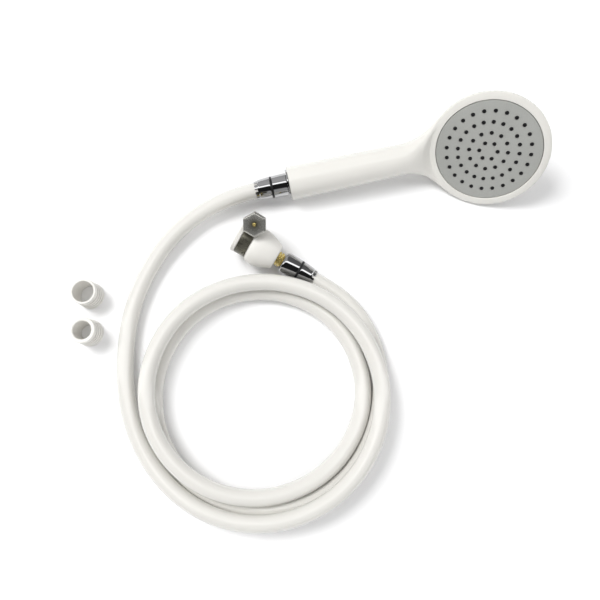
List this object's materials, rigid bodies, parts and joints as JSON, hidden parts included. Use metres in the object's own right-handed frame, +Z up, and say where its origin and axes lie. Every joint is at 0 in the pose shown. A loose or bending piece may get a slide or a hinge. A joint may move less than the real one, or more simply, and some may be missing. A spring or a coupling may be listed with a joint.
{
  "type": "handheld bath sprayer",
  "caption": "Handheld pet bath sprayer: round spray head on a straight handle, long coiled hose with swivel couplings, slip-on tap connector with clamp, and loose reducer sleeves.",
  "frame": {"origin": "middle of the whole laid-out object's footprint, on the floor it lies on", "axes": "+Z up from the floor, +X towards the spray head's side, away from the loose sleeves, +Y from the hose coil towards the sprayer"},
  "size_m": [0.403, 0.3488, 0.0774],
  "materials": {
    "white_gloss_plastic": "glossy moulded white",
    "grey_plate": "satin grey with a fine grain",
    "black_rubber": "matt black",
    "inner_plastic": "plain white",
    "chrome": "mirror chrome",
    "brass": "turned brass",
    "hose_pvc": "smooth glossy white hose",
    "white_rubber": "soft satin white",
    "clamp_steel": "brushed, with bright edges"
  },
  "bodies": {
    "hose": {"hose": "hose_pvc", "handle_ferrule": "chrome", "handle_swivel_ring": "black_rubber", "handle_barb": "brass", "handle_barb_seal": "black_rubber", "tap_ferrule": "chrome", "tap_swivel_ring": "black_rubber", "tap_barb": "brass", "tap_barb_seal": "black_rubber"},
    "sprayer": {"handle_shell": "white_gloss_plastic", "face_plate": "grey_plate", "nozzle_mat": "black_rubber", "spray_distributor": "inner_plastic", "face_seal": "black_rubber", "inlet_insert": "chrome", "inlet_washer": "black_rubber", "handle_nut": "chrome"},
    "connector": {"tap_nut": "chrome", "brass_nipple": "brass", "nipple_locknut": "brass", "connector_body": "white_rubber", "clamp_band": "clamp_steel", "clamp_nut": "brass", "clamp_spacer": "brass"},
    "clamp_washer": {"clamp_washer": "clamp_steel"},
    "clamp_screw": {"clamp_screw": "brass", "hex_cap": "clamp_steel"},
    "wide_sleeve": {"reducer_sleeve_wide": "white_rubber"},
    "narrow_sleeve": {"reducer_sleeve_narrow": "white_rubber"}
  },
  "joints": [
    {"name": "handle_swivel", "type": "hinge", "parent": "hose", "child": "sprayer", "pos_m": [-0.01687, 0.1167, 0.0162], "axis": [0.9782, 0.2017, 0.0489], "continuous": true},
    {"name": "tap_swivel", "type": "hinge", "parent": "hose", "child": "connector", "pos_m": [-0.02201, 0.04731, 0.01315], "axis": [-0.8601, 0.4827, 0.165], "continuous": true},
    {"name": "clamp_screw_feed", "type": "slide", "parent": "connector", "child": "clamp_washer", "axis": [-0.0232, -0.3603, 0.9326], "range_m": [0, 0.0028]},
    {"name": "clamp_screw_turn", "type": "hinge", "parent": "clamp_washer", "child": "clamp_screw", "pos_m": [-0.0444, 0.0783, 0.02457], "axis": [-0.0232, -0.3603, 0.9326], "range_deg": [0, 1440]},
    {"name": "wide_sleeve_lift", "type": "slide", "parent": "hose", "child": "wide_sleeve", "axis": [0, 0, 1], "range_m": [0, 0.08]},
    {"name": "narrow_sleeve_lift", "type": "slide", "parent": "hose", "child": "narrow_sleeve", "axis": [0, 0, 1], "range_m": [0, 0.08]}
  ],
  "couplings": [
    {"joint": "clamp_screw_feed", "follows": "clamp_screw_turn", "m_per_rad": 0.00011141}
  ]
}
